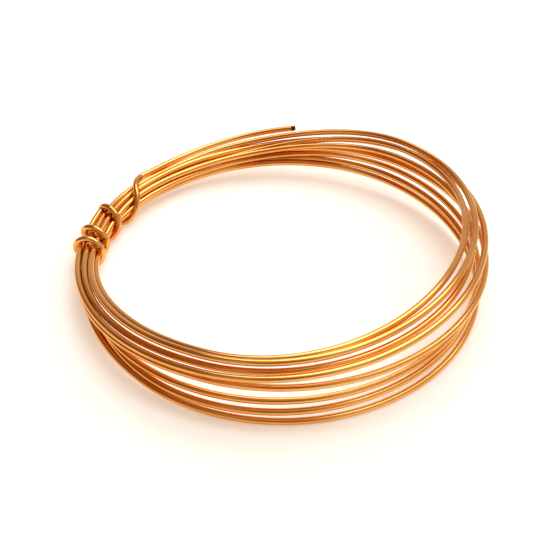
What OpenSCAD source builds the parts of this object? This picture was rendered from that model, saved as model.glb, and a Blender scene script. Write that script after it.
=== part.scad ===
// Small hank of bare copper wire.
// One length of wire is wound into a loose round coil. Its first end lies hidden in the
// bundled turns. Its other end is wrapped round them as a tie, and runs on along the coil
// to a square cut.
// The turns lie close together at the tie and spring apart on the far side of the coil.
// +Z is up. The origin is the middle of the bore, on the surface that the coil lies on.

/* [Wire] */
// Diameter of the bare wire
wire_d = 1.2; // [1:0.05:1.5]

/* [Coil] */
// Diameter of the bore
bore_d = 65; // [54:0.5:80]
// Thickness of the loose turns, from the bore to the outside
coil_w = 7.4; // [6:0.1:9]
// Height of the loose turns
coil_h = 13.5; // [10:0.1:16]
// Angle over which the turns spring apart, on each side of the tied bundle
fan_sweep = 16; // [16:1:40]

/* [Tie] */
// Direction of the middle of the tie, seen from above, from +X towards +Y
tie_at = 156; // [130:1:200]
// Width and height of the tied bundle
bundle_side = 3.8; // [3.2:0.1:4.7]
// Number of wraps in the tie
tie_wraps = 4; // [3:1:5]
// Spacing of the wraps along the bundle
wrap_pitch = 6.6; // [2:0.1:7]
// Angle that the bundle runs on past the first and the last wrap
bundle_margin = 3; // [2:0.5:5]
// Depth that each wrap presses into the corners of the bundle
wrap_bite = 0.15; // [0.05:0.05:0.3]
// Clearance between the tie and the bore
tie_clearance = 1.6; // [0.2:0.1:2.4]

/* [Free end] */
// Direction of the cut end
end_at = 85.5; // [70:0.5:95]
// Depth of the free end's middle below the top of the turns
end_drop = 4.1; // [1:0.1:6]
// Depth that the free end presses into the turns beside it
end_bite = 0.15; // [0.05:0.05:0.3]
// Length of the straight tip, up to the cut
tip_l = 8; // [5:0.5:12]

/* [Hidden] */

$fn = 32;
wire_r = wire_d / 2;
bore_r = bore_d / 2;
// The turns touch a little closer than side by side, so that neighbours press together
turn_pitch = 0.97 * wire_d;
// The tie's wraps run round the corners of the square bundle, where its corner wires bulge
bundle_corner = (bundle_side / 2 - wire_r) * sqrt(2) + wire_r;
wrap_r = bundle_corner - wrap_bite + wire_r;
// The wraps rest on the surface and stay out of the bore, and hold the bundle off both
bundle_z = wrap_r + wire_r;
bundle_r = bore_r + tie_clearance + wrap_r + wire_r;
// The bundle runs under all the wraps and on past them
wrap_angle = wrap_pitch / bundle_r * 180 / PI;
bundle_sweep = (tie_wraps - 1) * wrap_angle + 2 * bundle_margin;
// The part of the coil where the turns spring apart is made in steps
fan_steps = 1;
fan_step = fan_sweep / fan_steps;
open_start = tie_at + bundle_sweep / 2 + fan_sweep;
open_end = tie_at - bundle_sweep / 2 - fan_sweep;
// The free end lies against the outside of the loose turns
end_r = bore_r + coil_w + wire_r - end_bite;
end_z = coil_h - end_drop;
tip_sweep = atan(tip_l / end_r);

function mix(a, b, t) = a + (b - a) * t;

// Number of gaps between turns that lie side by side over a width
function gaps(width) = ceil((width - wire_d) / turn_pitch);

// Outline of the turns in section, at the fan's opening t: 0 is bundled and 1 is wide open.
// The bore's wall is plain, and the turns show on both ends and on the outside.
module turns_outline(t) {
    w = mix(bundle_side, coil_w, t);
    h = mix(bundle_side, coil_h, t);
    inside = mix(bundle_r - bundle_side / 2, bore_r, t);
    low = mix(bundle_z - bundle_side / 2, 0, t);
    across = gaps(w);
    up = gaps(h);
    translate([inside, low + wire_r]) {
        square([w - wire_r, h - wire_d]);
        for (i = [0 : across], j = [0 : up])
            if (j == 0 || j == up || i == across)
                translate([wire_r + i * (w - wire_d) / across, j * (h - wire_d) / up])
                    circle(wire_r);
    }
}

// Sector of the coil at the fan's opening t, from one direction over an angle
module turns_sector(from, sweep, t) {
    rotate_extrude(angle = sweep, start = from)
        turns_outline(t);
}

// The coil's turns: bundled at the tie, opening step by step, and wide open all round
module turns() {
    turns_sector(tie_at - bundle_sweep / 2, bundle_sweep, 0);
    for (k = [0 : fan_steps - 1]) {
        t = (k + 0.5) / fan_steps;
        turns_sector(tie_at + bundle_sweep / 2 + k * fan_step, fan_step, t);
        turns_sector(tie_at - bundle_sweep / 2 - (k + 1) * fan_step, fan_step, t);
    }
    turns_sector(open_start, open_end + 360 - open_start, 1);
}

// The tie: rings of the same wire round the bundle, square across it
module tie() {
    for (k = [0 : tie_wraps - 1])
        rotate([0, 0, tie_at + (k - (tie_wraps - 1) / 2) * wrap_angle])
            translate([bundle_r, 0, bundle_z])
                rotate([90, 0, 0])
                    rotate_extrude()
                        translate([wrap_r, 0])
                            circle(wire_r);
}

// The free end: it follows the outside of the loose turns and ends in a straight tip
module free_end() {
    translate([0, 0, end_z]) {
        rotate_extrude(angle = open_end - end_at - tip_sweep, start = end_at + tip_sweep)
            translate([end_r, 0])
                circle(wire_r);
        rotate([0, 0, end_at + tip_sweep])
            translate([end_r, 0, 0])
                rotate([90, 0, 0])
                    cylinder(h = tip_l, r = wire_r);
    }
}

// The whole wire, which is one piece
module wire_coil() {
    color("#c8722c") {
        turns();
        tie();
        free_end();
    }
}

wire_coil();
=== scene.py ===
"""Small hank of bare copper wire: the looks of the coil, and the stage that it is shown on."""
import math
from collections import namedtuple

import bpy
import numpy as np
from bpy.props import FloatProperty, FloatVectorProperty, IntProperty, PointerProperty
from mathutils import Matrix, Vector


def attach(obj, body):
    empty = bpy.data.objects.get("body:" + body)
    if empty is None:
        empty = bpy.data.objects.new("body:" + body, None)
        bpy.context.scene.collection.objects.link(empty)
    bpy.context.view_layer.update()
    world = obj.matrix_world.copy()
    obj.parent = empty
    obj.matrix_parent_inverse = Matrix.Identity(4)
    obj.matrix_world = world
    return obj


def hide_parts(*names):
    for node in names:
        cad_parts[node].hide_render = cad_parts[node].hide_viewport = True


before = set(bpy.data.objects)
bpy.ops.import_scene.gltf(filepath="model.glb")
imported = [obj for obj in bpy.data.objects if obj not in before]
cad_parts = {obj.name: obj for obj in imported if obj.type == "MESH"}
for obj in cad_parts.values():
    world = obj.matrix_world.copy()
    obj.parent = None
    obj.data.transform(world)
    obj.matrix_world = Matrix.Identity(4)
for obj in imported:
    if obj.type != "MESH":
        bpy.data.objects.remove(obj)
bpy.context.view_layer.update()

bl_info = {
    "name": "Copper wire hank",
    "version": (1, 0, 0),
    "blender": (4, 5, 0),
    "location": "3D View > Sidebar > Wire",
    "description": "Winds a hank of bare copper wire and sets the stage for it",
    "category": "Add Mesh",
}

MM = 0.001                  # one millimetre, in Blender's metres
NODE = "wire_coil"          # the construction's node that the wire stands for
BODY = "root"

# --- The route of the wire, in millimetres and degrees ----------------------------------------
# Directions are seen from above, from +X towards +Y. The wire starts inside the tied bundle, goes
# round in its turns as the direction grows, wraps back round the bundle and runs on to its cut end.

TIE_AT = 160.0              # the middle of the tied bundle
START_AT = 157.0            # where the wire starts, hidden in the tie
TAIL_AT = 170.0             # where the wire leaves the bundle to become the tie
FREE_AT = 132.0             # where the tie ends and the free end begins
CUT_AT = 85.5               # the cut end
ANGLE_STEP = 1.25           # between two points along a turn

# A turn is a ring: its radius, how far its middle lies to the right and to the back, its height,
# how far it rises to the right and to the back, and how far it is stretched along OVAL_AT.
Turn = namedtuple("Turn", "radius right back height rise_right rise_back oval")
OVAL_AT = 64.0
FREE_END = Turn(40.3, 0.0, 0.0, 11.5, 0.0, 0.0, 0.0)
TURNS = (
    Turn(36.9, 1.7, -0.1, 9.1, 2.3, -0.7, 1.5),
    Turn(35.2, 2.1, 0.9, 11.0, 1.6, -0.3, 2.2),
    Turn(35.0, 1.1, -0.3, 9.0, 1.8, -0.5, 1.1),
    Turn(33.0, 3.0, 0.1, 10.4, 2.0, -0.7, 3.0),
    Turn(37.2, 0.7, -0.2, 7.1, 1.0, -0.2, 0.0),
    Turn(37.1, 0.1, 0.3, 4.7, 0.6, 0.9, 0.2),
    Turn(36.8, 0.2, -0.8, 3.3, 0.3, 1.0, 0.5),
    Turn(36.7, 0.7, -1.4, 2.1, -0.6, 1.5, 0.5),
)

# Where the wire lies in the bundle, outwards and up from the bundle's middle, in wire diameters:
# where each turn comes out of the tie, and where each turn goes in again. The tail comes out last,
# low on the outside. The free end is first of those that go in, and lies on top.
BUNDLE_R, BUNDLE_Z = 37.4, 3.4
OUT_PLACES = (
    (1.0, 0.87), (-1.0, 0.87), (0.0, 0.87), (-1.5, 0.0),
    (0.5, 0.0), (-0.5, 0.0), (-1.0, -0.87), (0.0, -0.87),
    (1.7, -0.5),
)
IN_PLACES = (
    (1.3, 1.75),
    (0.0, 0.87), (1.0, 0.87), (-1.0, 0.87), (0.5, 0.0),
    (-0.5, 0.0), (-1.5, 0.0), (0.0, -0.87), (-1.0, -0.87),
)
BUNDLE_HOLD = 14.0          # the bundle keeps its shape this far to each side of its middle
SPRING_OUT = 75.0           # the turns take this far to spring apart as they come out of the bundle
SPRING_IN = 100.0           # and this far to come together again

# The tie: a loose helix round the bundle's middle. Each pair is how far round the bundle the wire
# has come, where 0 is outwards and 90 is the top, and the direction that it has reached there.
TIE_R, TIE_RISE = 2.75, 2.75  # from the bundle's middle to the tie's, sideways and up
TIE_SLACK = 0.2             # the first loop stands this much further off at its top
TIE_STEP = 8.0              # degrees round the bundle between two points of the tie
TIE_EVENING = 12            # times that the tie's progress along the bundle is averaged
TAIL_REACH = 1.7            # how far the tail keeps its direction as it turns into the tie
TIE = (
    (60, 141.0), (100, 145.0), (180, 150.0), (270, 154.0), (360, 156.5),
    (450, 158.0), (540, 160.5), (630, 164.0), (720, 167.5), (810, 169.3),
    (900, 170.5), (990, 173.0), (1080, 174.3), (1170, 174.8), (1300, 176.3),
)

# How the turns are pressed apart
PRESS_PASSES = 160
PRESS_SHARE = 0.35          # the share of an overlap that each wire moves in a pass
PRESS_EVENING = 4           # times that the moves are averaged along the wire in a pass


def smooth(x):
    """Rises from 0 to 1 as x does, flat at both ends: three x squared less two x cubed."""
    x = np.clip(x, 0.0, 1.0)
    return x * x * (3.0 - 2.0 * x)


def even_out(values, times):
    """Averages each value with its neighbours, a number of times."""
    values = values.copy()
    for _ in range(times):
        values[1:-1] = 0.25 * values[:-2] + 0.5 * values[1:-1] + 0.25 * values[2:]
    return values


def ring_section(turn, angle):
    """Radius and height of a turn at each direction: a ring off centre, leaning and slightly oval.

    Each is a mean plus a cosine and a sine of the direction, and the radius has a cosine of
    twice the direction from the long way of the oval."""
    across, deep = np.cos(angle), np.sin(angle)
    stretch = np.cos(2.0 * (angle - np.radians(OVAL_AT)))
    radius = turn.radius + turn.right * across + turn.back * deep + turn.oval * stretch
    height = turn.height + turn.rise_right * across + turn.rise_back * deep
    return radius, height


def loose_route(wire_d):
    """Direction, radius and height of the free end and all turns, before they are pressed apart.

    The turns follow their rings on the far side, and mix smoothly into their places in the
    bundle as they near the tie. In the tie each goes over from its place in to its place out."""
    angle = np.arange(CUT_AT, TAIL_AT + 360.0 * len(TURNS) + 0.01, ANGLE_STEP)
    passing = np.clip(np.floor((angle - TIE_AT + 180.0) / 360.0).astype(int), 0, len(TURNS))
    turn = np.clip(np.floor((angle - TIE_AT) / 360.0).astype(int) + 1, 0, len(TURNS))
    past_tie = angle - TIE_AT - 360.0 * passing
    values = Turn(*np.array((FREE_END,) + TURNS)[turn].T)
    radius, height = ring_section(values, np.radians(angle))
    spring = np.where(past_tie > 0.0, SPRING_OUT, SPRING_IN)
    loose = smooth((np.abs(past_tie) - BUNDLE_HOLD) / spring)
    out = smooth(past_tie / (2.0 * BUNDLE_HOLD) + 0.5)[:, None]
    place = out * np.array(OUT_PLACES)[passing] + (1.0 - out) * np.array(IN_PLACES)[passing]
    place = place * wire_d
    radius = loose * radius + (1.0 - loose) * (BUNDLE_R + place[:, 0])
    height = loose * height + (1.0 - loose) * (BUNDLE_Z + place[:, 1])
    return angle, radius, height


def as_columns(values, fill):
    """The route as a table with one row a turn and one column a direction, so that the wires
    that pass the same direction stand in one column."""
    columns = int(360.0 / ANGLE_STEP)
    rows = math.ceil(len(values) / columns)
    padding = np.full(rows * columns - len(values), fill)
    return np.concatenate([values, padding]).reshape(rows, columns)


def press_apart(radius, height, live, wire_d):
    """Moves the turns out of each other and off the floor, as stiff wires do.

    In each pass, every two wires nearer than a diameter move apart along the line between
    them, and the moves are then averaged along the wire, so that it bends smoothly."""
    live = as_columns(live, False)
    start = np.stack([radius, height], -1)
    moved = np.zeros_like(start)
    for _ in range(PRESS_PASSES):
        now = start + moved
        grid = np.stack([as_columns(now[:, 0], 1e3), as_columns(now[:, 1], 1e3)], -1)
        push = np.zeros_like(grid)
        for row in range(len(grid) - 1):
            apart = grid[row + 1:] - grid[row]
            gap = np.linalg.norm(apart, axis=-1)
            near = np.where(live[row + 1:] & live[row], np.clip(wire_d - gap, 0.0, None), 0.0)
            move = apart * (PRESS_SHARE * near / np.maximum(gap, 1e-6))[..., None]
            push[row + 1:] += move
            push[row] -= move.sum(axis=0)
        moved += push.reshape(-1, 2)[:len(radius)]
        moved[:, 1] = np.maximum(moved[:, 1], wire_d / 2.0 - height)
        moved = even_out(moved, PRESS_EVENING)
    return (start + moved).T


def tie_route(wire_d):
    """The tie, from the free end's side to the tail's: a circle round the bundle's middle that
    moves along the bundle as it goes round, and is a little slack at the first loop."""
    around, angle = np.array(TIE).T
    steps = np.arange(around[0], around[-1], TIE_STEP)
    angle = even_out(np.interp(steps, around, angle), TIE_EVENING)
    slack = TIE_SLACK * (1.0 - smooth((steps - 90.0) / 180.0))
    radius = BUNDLE_R + (TIE_R + slack) * np.cos(np.radians(steps))
    height = BUNDLE_Z + (TIE_RISE + slack) * np.sin(np.radians(steps))
    return np.stack([angle, radius, np.maximum(height, wire_d / 2.0)], -1)


def place_points(route):
    """Points in space from a direction, a radius and a height each."""
    angle, radius, height = route.T
    angle = np.radians(angle)
    return np.stack([radius * np.cos(angle), radius * np.sin(angle), height], -1)


def bridge(before, after, reach=1.0, count=14):
    """Points of a cubic curve that leaves one route and arrives at the next in their directions,
    which it keeps to over a share of the gap that grows with reach."""
    gap = reach * np.linalg.norm(after[0] - before[-1])
    leave, arrive = before[-1] - before[-2], after[1] - after[0]
    leave, arrive = gap * leave / np.linalg.norm(leave), gap * arrive / np.linalg.norm(arrive)
    t = np.linspace(0.0, 1.0, count + 2)[1:-1, None]
    rise = t * t * (3.0 - 2.0 * t)
    return ((1.0 - rise) * before[-1] + rise * after[0]
            + t * (1.0 - t) ** 2 * leave - t * t * (1.0 - t) * arrive)


def wire_route(wire_d):
    """Points along the middle of the whole wire, from its start in the bundle to its cut end."""
    angle, radius, height = loose_route(wire_d)
    live = (angle < FREE_AT) | (angle > START_AT)
    radius, height = press_apart(radius, height, live, wire_d)
    route = np.stack([angle, radius, height], -1)
    turns = place_points(route[angle > START_AT])
    free = place_points(route[angle < FREE_AT])[::-1]
    tie = place_points(tie_route(wire_d))[::-1]
    tail = bridge(turns, tie, TAIL_REACH)
    points = np.concatenate([turns, tail, tie, bridge(tie, free), free])
    points[:, 2] = np.maximum(points[:, 2], wire_d / 2.0)
    return points
# --- End of the route ---------------------------------------------------------------------------

PINCH = 0.8                 # the cutters leave the cut end this much of the wire's width
# The wire counts as in the tie where the sine of its angle to the bundle rises past the first of
# these, fully so once it has risen by the second, averaged the third number of times.
TIE_SINE, TIE_SINE_RISE, GUIDE_EVENING = 0.35, 0.4, 20


def tube(points, radius, sides):
    """Vertices, walls and end faces of a round wire carried along points, pinched at its cut end.

    At each point a circle stands square to the route. It is set out from two directions: the
    cross product of the route's direction and a guide, which is up along the turns and runs
    along the bundle in the tie, and the cross product of that and the route's direction."""
    ahead = np.gradient(points, axis=0)
    ahead /= np.linalg.norm(ahead, axis=1)[:, None]
    along_bundle = np.stack([-points[:, 1], points[:, 0], np.zeros(len(points))], -1)
    along_bundle /= np.linalg.norm(along_bundle, axis=1)[:, None]
    bundled = np.linalg.norm(np.cross(ahead, along_bundle), axis=1)
    in_tie = even_out(smooth((bundled - TIE_SINE) / TIE_SINE_RISE), GUIDE_EVENING)[:, None]
    guide = (1.0 - in_tie) * np.array([0.0, 0.0, 1.0]) + in_tie * along_bundle
    first = np.cross(ahead, guide)
    first /= np.linalg.norm(first, axis=1)[:, None]
    second = np.cross(first, ahead)
    turn = np.linspace(0.0, 2.0 * np.pi, sides, endpoint=False)[None, :, None]
    count = len(points)
    reach = np.where(np.arange(count) < count - 1, radius, PINCH * radius)[:, None, None]
    circle = np.cos(turn) * first[:, None] + np.sin(turn) * second[:, None]
    rings = points[:, None] + reach * circle
    vertices = np.concatenate([rings.reshape(-1, 3), points[[0, -1]]])
    ring, side = np.meshgrid(np.arange(count - 1), np.arange(sides), indexing="ij")
    ring, side = ring.ravel(), side.ravel()
    after = (side + 1) % sides
    walls = np.stack([ring * sides + side, ring * sides + after,
                      (ring + 1) * sides + after, (ring + 1) * sides + side], -1)
    edge, edge_after = np.arange(sides), (np.arange(sides) + 1) % sides
    last = (count - 1) * sides
    start_cap = np.stack([np.full(sides, count * sides), edge_after, edge], -1)
    end_cap = np.stack([np.full(sides, count * sides + 1), last + edge, last + edge_after], -1)
    return vertices, walls, np.concatenate([start_cap, end_cap])


def new_mesh_object(name, vertices, quads, triangles):
    """An object at the origin with that mesh, smooth on its quads and flat on its triangles."""
    mesh = bpy.data.meshes.new(name)
    mesh.from_pydata(vertices.tolist(), [], quads.tolist() + triangles.tolist())
    smooth_faces = np.arange(len(quads) + len(triangles)) < len(quads)
    mesh.polygons.foreach_set("use_smooth", smooth_faces)
    mesh.update()
    piece = bpy.data.objects.new(name, mesh)
    bpy.context.scene.collection.objects.link(piece)
    return piece


def set_wire_uv(piece, points, diameter, sides):
    """A UV map in metres: across it, the way round the wire, and up it, the length along it."""
    mesh = piece.data
    length = np.concatenate([[0.0], np.cumsum(np.linalg.norm(np.diff(points, axis=0), axis=1))])
    loops = np.empty(len(mesh.loops), dtype=int)
    mesh.loops.foreach_get("vertex_index", loops)
    on_ring = loops < len(points) * sides
    ring = np.where(on_ring, loops // sides, 0)
    side = np.where(on_ring, loops % sides, 0)
    around = side / sides
    walls = (len(points) - 1) * sides
    last_side = np.arange(walls) % sides == sides - 1
    corner = np.arange(len(loops))
    closing = (corner < 4 * walls) & last_side[np.minimum(corner // 4, walls - 1)] & (side == 0)
    around = np.where(closing, 1.0, around)
    uv = np.stack([around * math.pi * diameter, length[ring]], -1)
    mesh.uv_layers.new(name="wire")
    mesh.uv_layers["wire"].data.foreach_set("uv", uv.ravel())


# --- Materials ------------------------------------------------------------------------------------

def colour(hex_code):
    """An sRGB hex colour as linear red, green, blue and alpha."""
    values = [int(hex_code[i:i + 2], 16) / 255.0 for i in (1, 3, 5)]
    return [v / 12.92 if v <= 0.04045 else ((v + 0.055) / 1.055) ** 2.4 for v in values] + [1.0]


def add_node(tree, kind, settings=(), inputs=()):
    """A node of that kind, with its settings and, for each input, a value or the socket that it
    is linked from."""
    node = tree.nodes.new(kind)
    for name, value in dict(settings).items():
        setattr(node, name, value)
    for name, value in dict(inputs).items():
        if isinstance(value, bpy.types.NodeSocket):
            tree.links.new(value, node.inputs[name])
        else:
            node.inputs[name].default_value = value
    return node


def new_material(name):
    """A material with an empty node tree."""
    material = bpy.data.materials.new(name)
    material.use_nodes = True
    material.node_tree.nodes.clear()
    return material


def bright_copper():
    """Soft copper wire, drawn through a die and pickled bright: a mirror of a strong orange, a
    little browner in places where it has been handled, with faint lines along its length."""
    material = new_material("bright_drawn_copper")
    tree = material.node_tree
    place = add_node(tree, "ShaderNodeTexCoord")
    handled = add_node(tree, "ShaderNodeTexNoise", {"noise_dimensions": "3D"}, {
        "Vector": place.outputs["Object"], "Scale": 1.0 / (14.0 * MM), "Detail": 3.0})
    tone = add_node(tree, "ShaderNodeValToRGB", (), {"Fac": handled.outputs["Fac"]})
    tone.color_ramp.elements[0].position = 0.35
    tone.color_ramp.elements[0].color = colour("#e39649")
    tone.color_ramp.elements[1].position = 0.65
    tone.color_ramp.elements[1].color = colour("#f0b061")
    stretched = add_node(tree, "ShaderNodeMapping", (), {
        "Vector": place.outputs["UV"], "Scale": (1.0 / (0.12 * MM), 1.0 / (9.0 * MM), 1.0)})
    die_lines = add_node(tree, "ShaderNodeTexNoise", {"noise_dimensions": "2D"}, {
        "Vector": stretched.outputs["Vector"], "Scale": 1.0, "Detail": 2.0})
    bump = add_node(tree, "ShaderNodeBump", (), {
        "Height": die_lines.outputs["Fac"], "Strength": 0.12, "Distance": 0.02 * MM})
    gloss = add_node(tree, "ShaderNodeMapRange", (), {
        "Value": die_lines.outputs["Fac"], "To Min": 0.08, "To Max": 0.16})
    shader = add_node(tree, "ShaderNodeBsdfPrincipled", (), {
        "Base Color": tone.outputs["Color"], "Metallic": 1.0,
        "Roughness": gloss.outputs["Result"], "Normal": bump.outputs["Normal"]})
    add_node(tree, "ShaderNodeOutputMaterial", (), {"Surface": shader.outputs["BSDF"]})
    return material


def sheared_copper():
    """The ends, sheared by side cutters: torn, dull and dark brown."""
    material = new_material("sheared_copper")
    tree = material.node_tree
    place = add_node(tree, "ShaderNodeTexCoord")
    torn = add_node(tree, "ShaderNodeTexNoise", {"noise_dimensions": "3D"}, {
        "Vector": place.outputs["Object"], "Scale": 1.0 / (0.3 * MM), "Detail": 4.0})
    tone = add_node(tree, "ShaderNodeValToRGB", (), {"Fac": torn.outputs["Fac"]})
    tone.color_ramp.elements[0].color = colour("#2c1008")
    tone.color_ramp.elements[1].color = colour("#7a3a1a")
    bump = add_node(tree, "ShaderNodeBump", (), {
        "Height": torn.outputs["Fac"], "Strength": 0.6, "Distance": 0.08 * MM})
    shader = add_node(tree, "ShaderNodeBsdfPrincipled", (), {
        "Base Color": tone.outputs["Color"], "Metallic": 1.0, "Roughness": 0.55,
        "Normal": bump.outputs["Normal"]})
    add_node(tree, "ShaderNodeOutputMaterial", (), {"Surface": shader.outputs["BSDF"]})
    return material


def studio_floor(tint, bounce):
    """Matt white card with a painted warm glow, seen by the camera and in the metal, in place of
    the light bounced off the copper all round it, so that it is white in the open and its shadow is
    soft and warm."""
    material = new_material("matt_white_card")
    tree = material.node_tree
    seen = add_node(tree, "ShaderNodeLightPath")
    direct = add_node(tree, "ShaderNodeMath", {"operation": "MAXIMUM"}, {
        0: seen.outputs["Is Camera Ray"], 1: seen.outputs["Is Glossy Ray"]})
    either = add_node(tree, "ShaderNodeMath", {"operation": "MAXIMUM"}, {
        0: direct.outputs[0], 1: seen.outputs["Is Transmission Ray"]})
    card = add_node(tree, "ShaderNodeBsdfDiffuse", (), {"Color": (*tint, 1.0)})
    # Painted glow: a warm emission on the card for camera, glossy and transmission rays, standing
    # in for light bounced off the copper
    glow = add_node(tree, "ShaderNodeEmission", (), {
        "Color": (*bounce, 1.0), "Strength": either.outputs[0]})
    both = add_node(tree, "ShaderNodeAddShader", (), {
        0: card.outputs["BSDF"], 1: glow.outputs["Emission"]})
    add_node(tree, "ShaderNodeOutputMaterial", (), {"Surface": both.outputs["Shader"]})
    return material


# --- The stage, in metres and degrees -------------------------------------------------------------

FLOOR_HALF = 1.5                      # from the middle of the floor to each side
LAMP_SIZE = (0.7, 0.5)
LAMP_AT = (0.15, 0.22, 0.60)
CAMERA_TARGET = (-0.25 * MM, -1.6 * MM, 0.0)
# Where the room light is dim and warm: the outer angle, where this starts, and the inner angle,
# inside which it is full.
FRONT_SPREAD = (26.0, 12.0)           # round the direction of the camera
LEFT_SIDE = (-0.85, 0.05, 0.53)       # left of the coil and above it
LEFT_SPREAD = (62.0, 20.0)


# --- Settings, operators and panel ----------------------------------------------------------------

class WireSettings(bpy.types.PropertyGroup):
    diameter: FloatProperty(
        name="Diameter", description="Diameter of the bare wire", default=1.2 * MM,
        min=0.5 * MM, unit="LENGTH")
    sides: IntProperty(
        name="Sides", description="Flat faces round the wire", default=20, min=8, max=64)


class StageSettings(bpy.types.PropertyGroup):
    elevation: FloatProperty(
        name="Camera height", description="Angle of the camera above the floor",
        default=math.radians(39.3), subtype="ANGLE")
    distance: FloatProperty(
        name="Camera distance", description="From the camera to the middle of the coil",
        default=179.0 * MM, unit="LENGTH")
    lens: FloatProperty(
        name="Lens", description="Focal length of the camera in millimetres", default=59.8)
    lamp: FloatProperty(
        name="Lamp", description="Power of the soft box in watts", default=2.8, min=0.0)
    sky: FloatProperty(
        name="Room light", description="Strength of the light from all round", default=0.65,
        min=0.0)
    front: FloatVectorProperty(
        name="Front", description="Share of the room light that comes from round the camera",
        size=3, default=(0.42, 0.23, 0.09), subtype="COLOR", min=0.0, max=1.0)
    left: FloatVectorProperty(
        name="Left", description="Share of the room light that comes from the left", size=3,
        default=(0.44, 0.25, 0.10), subtype="COLOR", min=0.0, max=1.0)
    floor: FloatVectorProperty(
        name="Floor", description="Colour of the floor", default=colour("#f7f6f4")[:3], size=3,
        subtype="COLOR", min=0.0, max=1.0)
    # A warm glow painted on the floor for the camera and the metal, in place of light bounced off
    # the copper
    bounce: FloatVectorProperty(
        name="Bounce", description="Warm light that the floor shows besides the lamp's", size=3,
        default=(0.34, 0.29, 0.23), subtype="COLOR", min=0.0, max=1.0)


class HANK_OT_wire(bpy.types.Operator):
    """Wind the wire into its turns and its tie, in place of the construction's plain coil"""
    bl_idname = "hank.wire"
    bl_label = "Wind the wire"

    def execute(self, context):
        settings = context.scene.hank_wire
        diameter = settings.diameter
        points = wire_route(diameter / MM) * MM
        vertices, walls, ends = tube(points, diameter / 2.0, settings.sides)
        wire = new_mesh_object("copper_wire", vertices, walls, ends)
        set_wire_uv(wire, points, diameter, settings.sides)
        wire.data.materials.append(bright_copper())
        wire.data.materials.append(sheared_copper())
        face = np.arange(len(walls) + len(ends))
        sheared = face >= len(walls) - settings.sides     # the last ring of walls, and both ends
        wire.data.polygons.foreach_set("material_index", sheared * 1)
        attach(wire, BODY)
        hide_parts(NODE)
        return {"FINISHED"}


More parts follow.
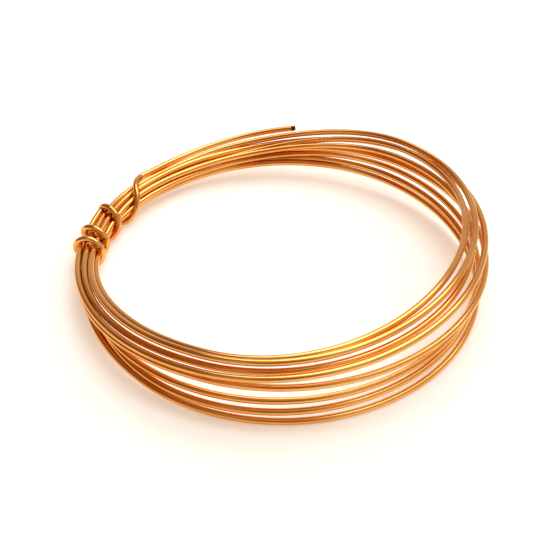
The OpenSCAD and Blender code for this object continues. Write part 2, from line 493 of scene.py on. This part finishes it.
class HANK_OT_stage(bpy.types.Operator):
    """Set the floor, the light and the camera"""
    bl_idname = "hank.stage"
    bl_label = "Set the stage"

    def execute(self, context):
        settings = context.scene.hank_stage
        corners = FLOOR_HALF * np.array([[-1, -1, 0], [1, -1, 0], [1, 1, 0], [-1, 1, 0]])
        floor = new_mesh_object(
            "floor", corners, np.array([[0, 1, 2, 3]]), np.empty((0, 3), dtype=int))
        floor.data.materials.append(studio_floor(settings.floor, settings.bounce))
        self.add_lamp(context, settings)
        self.add_room(context, settings)
        self.add_camera(context, settings)
        context.scene.view_settings.view_transform = "Standard"
        return {"FINISHED"}

    def add_lamp(self, context, settings):
        """A wide soft box above the coil, to the back and the right."""
        lamp = bpy.data.lights.new("soft_box", "AREA")
        lamp.energy = settings.lamp
        lamp.shape = "RECTANGLE"
        lamp.size, lamp.size_y = LAMP_SIZE
        holder = bpy.data.objects.new("soft_box", lamp)
        holder.location = LAMP_AT
        holder.rotation_euler = aim(holder.location, (0.0, 0.0, 0.0))
        context.scene.collection.objects.link(holder)

    def add_room(self, context, settings):
        """Even white light from all round, but dimmer and warmer from the left and round the
        camera."""
        world = bpy.data.worlds.new("room")
        world.use_nodes = True
        tree = world.node_tree
        tree.nodes.clear()
        place = add_node(tree, "ShaderNodeTexCoord")
        camera_side = (0.0, -math.cos(settings.elevation), math.sin(settings.elevation))
        light = add_node(tree, "ShaderNodeRGB").outputs["Color"]
        light.default_value = colour("#ffffff")
        for toward, (wide, narrow), share in ((camera_side, FRONT_SPREAD, settings.front),
                                              (LEFT_SIDE, LEFT_SPREAD, settings.left)):
            facing = add_node(tree, "ShaderNodeVectorMath", {"operation": "DOT_PRODUCT"}, {
                0: place.outputs["Generated"], 1: toward})
            dimmed = add_node(tree, "ShaderNodeMapRange", {"interpolation_type": "SMOOTHSTEP"}, {
                "Value": facing.outputs["Value"], "From Min": math.cos(math.radians(wide)),
                "From Max": math.cos(math.radians(narrow))})
            # The colour mix has many sockets of one name, so they are given by their index.
            multiply = {"data_type": "RGBA", "blend_type": "MULTIPLY"}
            light = add_node(tree, "ShaderNodeMix", multiply, {
                0: dimmed.outputs["Result"], 6: light, 7: (*share, 1.0)}).outputs[2]
        shine = add_node(tree, "ShaderNodeBackground", (), {
            "Color": light, "Strength": settings.sky})
        add_node(tree, "ShaderNodeOutputWorld", (), {"Surface": shine.outputs["Background"]})
        context.scene.world = world

    def add_camera(self, context, settings):
        """The camera looks nearly at the middle of the bore, from the front and above."""
        camera = bpy.data.cameras.new("camera")
        camera.lens = settings.lens
        camera.sensor_width = 36.0
        camera.clip_start = 0.01
        holder = bpy.data.objects.new("camera", camera)
        lift = settings.elevation
        holder.location = (CAMERA_TARGET[0], CAMERA_TARGET[1] - settings.distance * math.cos(lift),
                           CAMERA_TARGET[2] + settings.distance * math.sin(lift))
        holder.rotation_euler = aim(holder.location, CAMERA_TARGET)
        context.scene.collection.objects.link(holder)
        context.scene.camera = holder


def aim(place, target):
    """The rotation that turns a lamp or camera at place towards target."""
    return (Vector(target) - Vector(place)).to_track_quat("-Z", "Y").to_euler()


class HANK_PT_panel(bpy.types.Panel):
    bl_idname = "HANK_PT_panel"
    bl_label = "Copper wire hank"
    bl_space_type = "VIEW_3D"
    bl_region_type = "UI"
    bl_category = "Wire"

    def draw(self, context):
        for group, operator in ((context.scene.hank_wire, "hank.wire"),
                                (context.scene.hank_stage, "hank.stage")):
            box = self.layout.box()
            for name in group.__annotations__:
                box.prop(group, name)
            box.operator(operator)


CLASSES = (WireSettings, StageSettings, HANK_OT_wire, HANK_OT_stage, HANK_PT_panel)


def register():
    for item in CLASSES:
        bpy.utils.register_class(item)
    bpy.types.Scene.hank_wire = PointerProperty(type=WireSettings)
    bpy.types.Scene.hank_stage = PointerProperty(type=StageSettings)


def unregister():
    del bpy.types.Scene.hank_wire
    del bpy.types.Scene.hank_stage
    for item in reversed(CLASSES):
        bpy.utils.unregister_class(item)


def main():
    register()
    bpy.ops.hank.wire()
    bpy.ops.hank.stage()


if __name__ == "__main__":
    main()
